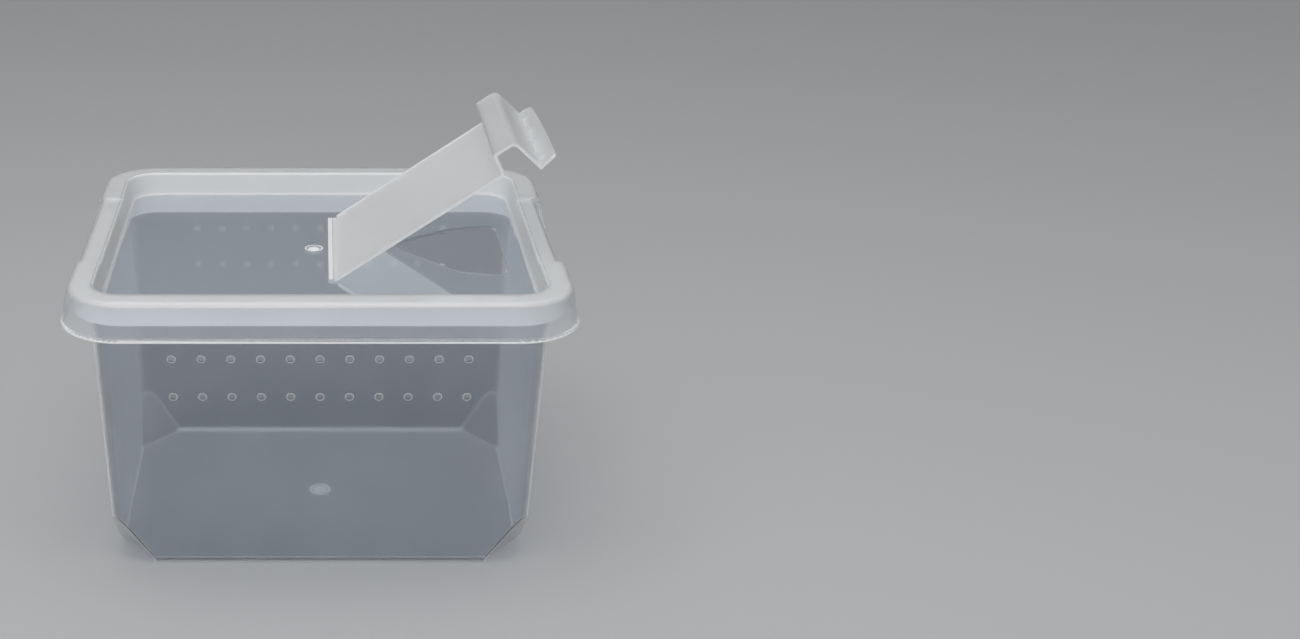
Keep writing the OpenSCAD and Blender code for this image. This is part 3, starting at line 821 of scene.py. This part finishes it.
class KEEPER_OT_lid(bpy.types.Operator):
    """Dresses the lid's milky rim and clear panel."""

    bl_idname = "keeper.lid"
    bl_label = "Lid"

    def execute(self, context):
        shape = context.scene.keeper_shape
        gates = context.scene.keeper_gates
        finish = context.scene.keeper_finish

        panel_z = LID_HIGH.z - shape.recess_depth
        underside = panel_z - shape.sheet
        low_parts_top = panel_z + 2 * shape.sheet
        skirt_top = LID_HIGH.z - 2 * shape.sheet
        recess_top = LID_HIGH.z - shape.sheet
        bead_top = LID_LOW.z + shape.bead_height
        wall_foot = panel_z + 0.7 * shape.sheet
        outer_part = 0.45 * shape.rim_width
        panel_half_x = LID_HIGH.x - 1.1 * shape.rim_width
        panel_half_y = 1.01 * FLAP_HIGH.y
        strip_end = FILM_LOW.x + HAIR
        gate = Vector((-gates.lid_place, 0))

        def on_panel(middle):
            within = abs(middle.x) < panel_half_x and abs(middle.y) < panel_half_y
            return middle.z < low_parts_top and within

        def is_soft(edge):
            return on_panel(edge_middle(edge)) and edge.calc_face_angle(0.0) > SQUARE_EDGE

        lid = moulded_copy("lid", "lid_shell", shape.flap_edge_radius, is_soft, on_panel)

        def choose(centre, normal):
            depth = depth_in_lid(centre, shape.corner_radius)
            if depth < outer_part:
                # Painted glow: the bead along the skirt's lower edge gets the dense white edge plastic.
                return "edge" if centre.z < bead_top else "skirt" if centre.z < skirt_top else "rim"
            if centre.z > recess_top and abs(normal.z) > RIM_LEVEL:
                return "rim"
            if centre.z > low_parts_top:
                return "recess"
            if depth < shape.rim_width + shape.sheet:
                return "recess" if centre.z > wall_foot or normal.z < UNDER_DOWN else "junction"
            if centre.z > panel_z + HAIR:
                over_gate = (Vector(centre.xy) - gate).length < gates.lid_diameter
                return "edge" if over_gate else "strip" if centre.x < strip_end else "recess"
            cut = underside + HAIR < centre.z < panel_z - HAIR
            return "softened" if cut else "panel"

        paint_regions(lid, finish, {
            "panel": "Clear panel",
            "softened": "Panel edge",
            "junction": "Recess foot",
            "rim": "Milky rim",
            "recess": "Cloudy recess",
            "skirt": "Thin skirt",
            "edge": "Bright edge",
            "strip": "Satin flap",
        }, choose)
        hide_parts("lid")
        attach(lid, "lid")
        return {"FINISHED"}


class KEEPER_OT_flap(bpy.types.Operator):
    """Dresses the satin flap, with painted glow on its cut edges and painted shade on the parts above its
    plate.
    """

    bl_idname = "keeper.flap"
    bl_label = "Flap"

    def execute(self, context):
        shape = context.scene.keeper_shape
        finish = context.scene.keeper_finish

        def is_soft(edge):
            return edge.is_convex and edge.calc_face_angle(0.0) > SQUARE_EDGE

        flap = moulded_copy("flap", "flap_plate", shape.flap_edge_radius, is_soft)
        lower = Matrix.Rotation(OPEN_ANGLE, 3, "Y")
        level = Matrix.Rotation(OPEN_ANGLE + shape.tab_tilt, 3, "Y")
        reach = max((lower @ (vertex.co - HINGE_LINE)).x for vertex in flap.data.vertices)
        tab_start = reach - 6 * MM
        near_sides = 0.8 * FLAP_HIGH.y

        def choose(centre, normal):
            # Painted glow: the side faces and the tab's end faces get the dense white edge plastic.
            if abs(normal.y) > SIDEWAYS and abs(centre.y) > near_sides:
                return "edge"
            ahead = (lower @ (centre - HINGE_LINE)).x
            if ahead > tab_start and abs((level @ normal).z) < TAB_END_LEVEL:
                return "edge"
            # Painted shade: the parts beyond the lip distance get a darker copy of the flap's plastic.
            return "lip" if ahead > shape.lip_distance else "flap"

        paint_regions(flap, finish, {
            "flap": "Satin flap",
            "edge": "Bright edge",
            "lip": "Thin lip",
        }, choose)
        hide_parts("flap")
        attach(flap, "flap")
        return {"FINISHED"}


class KEEPER_OT_film_hinge(bpy.types.Operator):
    """Makes the thin web that bends between the lid and the flap."""

    bl_idname = "keeper.film_hinge"
    bl_label = "Film hinge"

    def execute(self, context):
        shape = context.scene.keeper_shape
        finish = context.scene.keeper_finish
        half = shape.film_thickness / 2
        back = HINGE_LINE.x - FILM_LOW.x
        front = 1.0 * MM
        along = Vector((math.cos(OPEN_ANGLE), 0, math.sin(OPEN_ANGLE)))
        steps = 12
        line = [HINGE_LINE - Vector((back * (1 - step / steps), 0, 0)) for step in range(steps + 1)]
        line += [HINGE_LINE + along * front * step / steps for step in range(1, steps + 1)]
        mesh = bpy.data.meshes.new("film_hinge_web")
        web = bmesh.new()
        rows = []
        for number, point in enumerate(line):
            ahead = line[min(number + 1, len(line) - 1)] - line[max(number - 1, 0)]
            up = Vector((-ahead.z, 0, ahead.x)).normalized() * half
            rows.append([web.verts.new(point + side * up + Vector((0, y, 0)))
                         for side in (-1, 1) for y in (FILM_LOW.y, FILM_HIGH.y)])
        for low, high in zip(rows, rows[1:]):
            for a, b in ((0, 1), (1, 3), (3, 2), (2, 0)):
                web.faces.new((low[a], low[b], high[b], high[a]))
        web.faces.new([rows[0][i] for i in (0, 2, 3, 1)])
        web.faces.new([rows[-1][i] for i in (0, 1, 3, 2)])
        bmesh.ops.recalc_face_normals(web, faces=web.faces)
        web.to_mesh(mesh)
        web.free()
        mesh.shade_smooth()
        mesh.set_sharp_from_angle(angle=math.radians(50))
        film = link_object("film_hinge_web", mesh)
        film.data.materials.append(plastic(finish, "Satin flap"))
        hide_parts("film_hinge")
        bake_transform(film)
        return {"FINISHED"}


def area_lamp(name, place, size, power):
    """A soft rectangular lamp that points at the keeper."""
    data = bpy.data.lights.new(name, "AREA")
    data.shape = "RECTANGLE"
    data.size, data.size_y = size
    data.energy = power
    lamp = bpy.data.objects.new(name, data)
    lamp.location = place
    lamp.rotation_euler = (Vector(LAMP_AIM) - Vector(place)).to_track_quat("-Z", "Y").to_euler()
    bpy.context.scene.collection.objects.link(lamp)


def soft_world(low, high):
    """A surround that is brighter overhead than at the horizon."""
    world = bpy.data.worlds.new("Surround")
    world.use_nodes = True
    tree = world.node_tree
    sky = tree.nodes["Background"]
    way = tree.nodes.new("ShaderNodeTexCoord")
    parts = tree.nodes.new("ShaderNodeSeparateXYZ")
    tree.links.new(way.outputs["Generated"], parts.inputs["Vector"])
    tree.links.new(ranged(tree, parts.outputs["Z"], HORIZON_BAND, low, high), sky.inputs["Strength"])
    sky.inputs["Color"].default_value = (1.0, 1.0, 1.0, 1.0)
    return world


class KEEPER_OT_stage(bpy.types.Operator):
    """Makes the pale floor, the soft lamps and the camera."""

    bl_idname = "keeper.stage"
    bl_label = "Stage"

    def execute(self, context):
        studio = context.scene.keeper_studio
        scene = context.scene
        scene.view_settings.view_transform = "Standard"

        mesh = bpy.data.meshes.new("floor")
        half = FLOOR_HALF_WIDTH
        level = -studio.floor_drop
        corners = [(x * half, y * half, level) for x, y in ((-1, -1), (1, -1), (1, 1), (-1, 1))]
        mesh.from_pydata(corners, [], [(0, 1, 2, 3)])
        floor = link_object("floor", mesh)
        matte = bpy.data.materials.new("Pale floor")
        matte.use_nodes = True
        paint = matte.node_tree.nodes["Principled BSDF"]
        paint.inputs["Base Color"].default_value = (*studio.floor_colour, 1.0)
        paint.inputs["Roughness"].default_value = FLOOR_ROUGHNESS
        floor.data.materials.append(matte)

        scene.world = soft_world(studio.sky_low, studio.sky_high)
        for name, place, size, power in LAMPS:
            area_lamp(name, place, size, getattr(studio, power))

        data = bpy.data.cameras.new("Camera")
        data.sensor_width = SENSOR_WIDTH
        data.lens = studio.lens
        data.shift_x = studio.shift_x
        data.shift_y = studio.shift_y
        camera = bpy.data.objects.new("Camera", data)
        camera.location = (0.0, -studio.eye_distance, studio.eye_height)
        camera.rotation_euler = (math.pi / 2 - studio.eye_pitch, 0.0, 0.0)
        scene.collection.objects.link(camera)
        scene.camera = camera
        return {"FINISHED"}


class KEEPER_PT_panel(bpy.types.Panel):
    """Lists the keeper's pieces."""

    bl_label = "Pet keeper"
    bl_space_type = "VIEW_3D"
    bl_region_type = "UI"
    bl_category = "Keeper"

    def draw(self, context):
        for operator in OPERATORS:
            self.layout.operator(operator.bl_idname)


GROUPS = {
    "keeper_shape": KeeperShape,
    "keeper_vents": KeeperVents,
    "keeper_gates": KeeperGates,
    "keeper_finish": KeeperFinish,
    "keeper_studio": StudioSetup,
}
OPERATORS = (
    KEEPER_OT_tub,
    KEEPER_OT_vent_lips,
    KEEPER_OT_lid,
    KEEPER_OT_gate_marks,
    KEEPER_OT_flap,
    KEEPER_OT_film_hinge,
    KEEPER_OT_stage,
)


def register():
    for kind in (*GROUPS.values(), *OPERATORS, KEEPER_PT_panel):
        bpy.utils.register_class(kind)
    for name, group in GROUPS.items():
        setattr(bpy.types.Scene, name, bpy.props.PointerProperty(type=group))


def unregister():
    for name in reversed(GROUPS):
        delattr(bpy.types.Scene, name)
    for kind in reversed((*GROUPS.values(), *OPERATORS, KEEPER_PT_panel)):
        bpy.utils.unregister_class(kind)


def main():
    register()
    bpy.ops.keeper.tub()
    bpy.ops.keeper.vent_lips()
    bpy.ops.keeper.lid()
    bpy.ops.keeper.gate_marks()
    bpy.ops.keeper.flap()
    bpy.ops.keeper.film_hinge()
    bpy.ops.keeper.stage()


if __name__ == "__main__":
    main()
